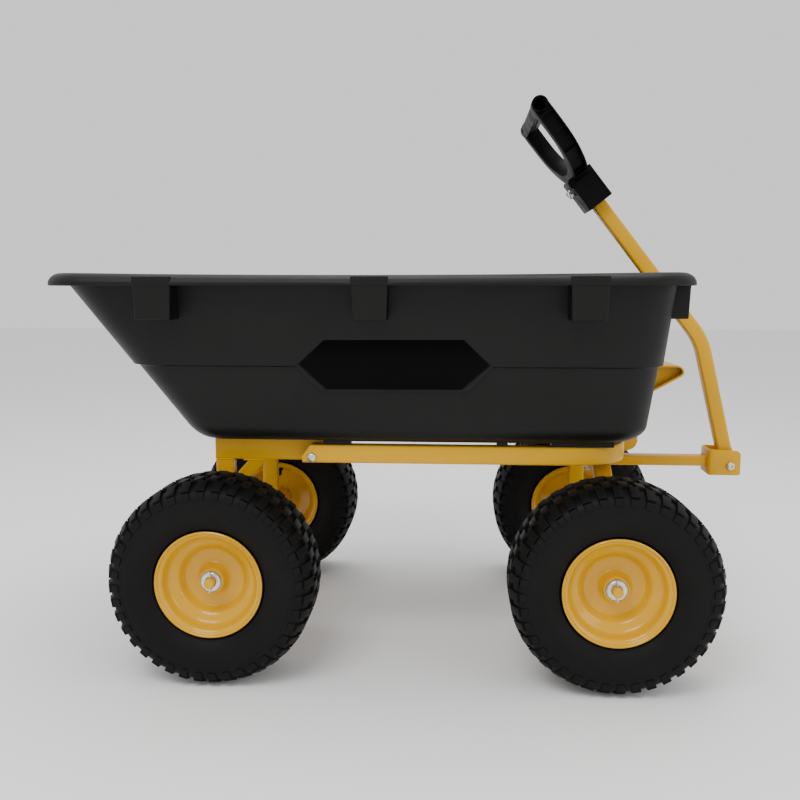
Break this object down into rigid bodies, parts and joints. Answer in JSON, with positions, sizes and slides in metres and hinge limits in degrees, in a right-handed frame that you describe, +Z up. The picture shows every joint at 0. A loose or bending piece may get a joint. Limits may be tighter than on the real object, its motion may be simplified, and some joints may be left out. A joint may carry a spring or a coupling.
{
  "type": "garden dump cart",
  "caption": "Four-wheeled garden cart with a deep moulded dump tray, yellow tube chassis, steered front axle and a folding dog-leg pull handle.",
  "frame": {"origin": "on the floor under the middle of the cart's overall length and width", "axes": "+X forward to the drawbar and pull handle, +Y to the cart's left, +Z up"},
  "size_m": [1.166, 0.672, 0.9378],
  "materials": {
    "yellow_paint": "golden-yellow powder coat, semi-gloss",
    "tray_poly": "charcoal-black moulded polyethylene, fine grain, satin",
    "panel_gloss": "gloss-black blank panel",
    "grip_plastic": "black moulded grip, satin",
    "tyre": "black rubber with block tread",
    "zinc": "bright zinc-plated steel",
    "bearing_steel": "greased bearing steel"
  },
  "bodies": {
    "front_frame": {"front_frame": "yellow_paint", "steering_plate": "yellow_paint", "pivot_bolt_left": "zinc", "pivot_bolt_right": "zinc", "pivot_nut_left": "zinc", "pivot_nut_right": "zinc", "latch_post": "yellow_paint", "latch_pin": "zinc", "latch_spring": "zinc"},
    "dump_bed": {"tray": "tray_poly", "side_panel_left": "panel_gloss", "side_panel_right": "panel_gloss", "tray_bolt_rear_left": "zinc", "tray_bolt_rear_right": "zinc", "tray_bolt_front_left": "zinc", "tray_bolt_front_right": "zinc", "rear_frame_left": "yellow_paint", "rear_frame_right": "yellow_paint", "rear_cross_beam": "yellow_paint", "mid_cross_beam": "yellow_paint", "rear_axle": "yellow_paint", "rear_washer_left": "zinc", "rear_washer_right": "zinc", "rear_cotter_left": "zinc", "rear_cotter_right": "zinc", "tray_catch": "yellow_paint"},
    "release_lever": {"release_lever": "yellow_paint"},
    "steering": {"front_axle_arch": "yellow_paint", "front_axle": "yellow_paint", "drawbar": "yellow_paint", "drawbar_clevis": "yellow_paint", "kingpin_bolt": "zinc", "kingpin_nut": "zinc", "front_washer_left": "zinc", "front_washer_right": "zinc", "front_cotter_left": "zinc", "front_cotter_right": "zinc", "handle_pivot_bolt": "zinc", "handle_pivot_nut": "zinc"},
    "pull_handle": {"handle_tube": "yellow_paint", "grip": "grip_plastic", "clevis_pin": "zinc", "r_clip": "zinc"},
    "wheel_front_left": {"tyre_front_left": "tyre", "rim_front_left": "yellow_paint", "bearing_outer_front_left": "bearing_steel", "bearing_inner_front_left": "bearing_steel"},
    "wheel_front_right": {"tyre_front_right": "tyre", "rim_front_right": "yellow_paint", "bearing_outer_front_right": "bearing_steel", "bearing_inner_front_right": "bearing_steel"},
    "wheel_rear_left": {"tyre_rear_left": "tyre", "rim_rear_left": "yellow_paint", "bearing_outer_rear_left": "bearing_steel", "bearing_inner_rear_left": "bearing_steel"},
    "wheel_rear_right": {"tyre_rear_right": "tyre", "rim_rear_right": "yellow_paint", "bearing_outer_rear_right": "bearing_steel", "bearing_inner_rear_right": "bearing_steel"}
  },
  "joints": [
    {"name": "dump_tilt", "type": "hinge", "parent": "front_frame", "child": "dump_bed", "pos_m": [-0.169, 0, 0.349], "axis": [0, -1, 0], "range_deg": [0, 45]},
    {"name": "steering_turn", "type": "hinge", "parent": "front_frame", "child": "steering", "pos_m": [0.316, 0, 0.3365], "axis": [0, 0, 1], "range_deg": [-25, 25]},
    {"name": "handle_swing", "type": "hinge", "parent": "steering", "child": "pull_handle", "pos_m": [0.565, 0, 0.305], "axis": [0, 1, 0], "range_deg": [0, 125]},
    {"name": "lever_lift", "type": "hinge", "parent": "front_frame", "child": "release_lever", "pos_m": [0.392, 0, 0.462], "axis": [0, -1, 0], "range_deg": [0, 25], "stiffness_Nm_per_rad": 2, "springref_deg": -17.19},
    {"name": "wheel_front_left_spin", "type": "hinge", "parent": "steering", "child": "wheel_front_left", "pos_m": [0.316, 0.2725, 0.165], "axis": [0, 1, 0], "continuous": true},
    {"name": "wheel_front_right_spin", "type": "hinge", "parent": "steering", "child": "wheel_front_right", "pos_m": [0.316, -0.2725, 0.165], "axis": [0, 1, 0], "continuous": true},
    {"name": "wheel_rear_left_spin", "type": "hinge", "parent": "dump_bed", "child": "wheel_rear_left", "pos_m": [-0.317, 0.2725, 0.165], "axis": [0, 1, 0], "continuous": true},
    {"name": "wheel_rear_right_spin", "type": "hinge", "parent": "dump_bed", "child": "wheel_rear_right", "pos_m": [-0.317, -0.2725, 0.165], "axis": [0, 1, 0], "continuous": true}
  ]
}
